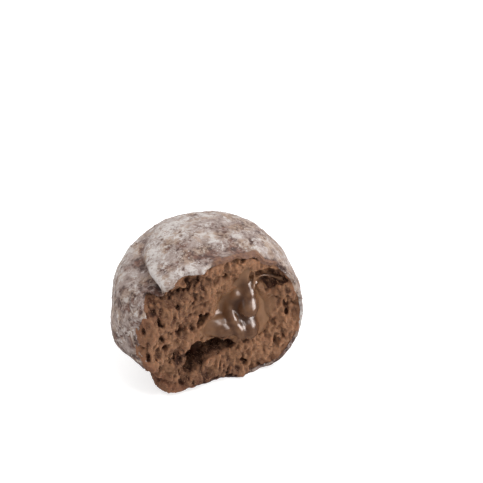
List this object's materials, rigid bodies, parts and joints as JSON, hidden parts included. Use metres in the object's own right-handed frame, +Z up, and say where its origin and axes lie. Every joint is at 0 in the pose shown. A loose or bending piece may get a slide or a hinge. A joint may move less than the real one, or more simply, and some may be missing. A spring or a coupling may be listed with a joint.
{
  "type": "filled chocolate doughnut ball",
  "caption": "Small sugar-dusted chocolate dough ball, torn open at the front to show airy crumb and a glossy chocolate filling that runs into its middle.",
  "frame": {"origin": "middle of the flat spot that the ball rests on, under the whole ball's middle", "axes": "+Z up; +X along the widest way across the ball; the torn face looks along -Y, turned 19 degrees towards +X"},
  "size_m": [0.0534, 0.0468, 0.0448],
  "materials": {
    "dough": "dry brown crumb inside and a fried skin outside, thinly and unevenly dusted with sugar",
    "chocolate_filling": "wet gloss"
  },
  "bodies": {
    "root": {"dough": "dough", "chocolate_filling": "chocolate_filling"}
  },
  "joints": []
}
